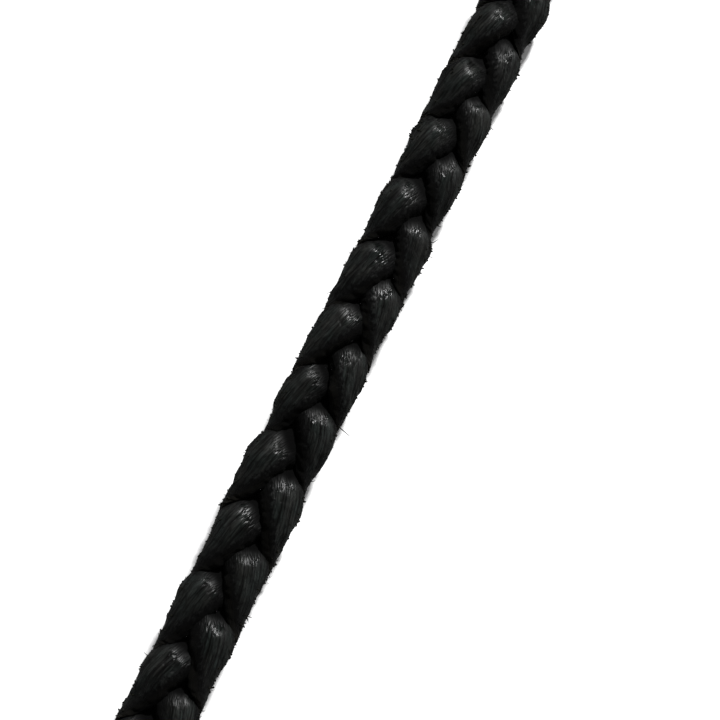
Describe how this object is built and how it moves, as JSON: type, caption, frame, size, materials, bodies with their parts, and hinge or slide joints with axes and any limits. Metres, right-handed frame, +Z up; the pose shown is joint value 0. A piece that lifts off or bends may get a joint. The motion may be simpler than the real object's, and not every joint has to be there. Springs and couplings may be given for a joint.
{
  "type": "braided leather bolo necklace",
  "caption": "Necklace of braided black leather bolo cord, plaited from three flat laces and laid flat as a closed loop that a plain steel barrel clasp joins at the back.",
  "frame": {"origin": "on the surface that the necklace lies on, in the middle of the loop's bounding box", "axes": "+Z up from the surface, +Y towards the clasp at the back of the neck, -Y towards the front of the loop, +X across it"},
  "size_m": [0.134, 0.1832, 0.007],
  "materials": {
    "braided_leather": "black dyed cowhide lace, satin grain with fine creases and rough cut edges",
    "clasp_steel": "satin stainless steel"
  },
  "bodies": {
    "root": {"braided_cord": "braided_leather", "clasp": "clasp_steel"}
  },
  "joints": []
}
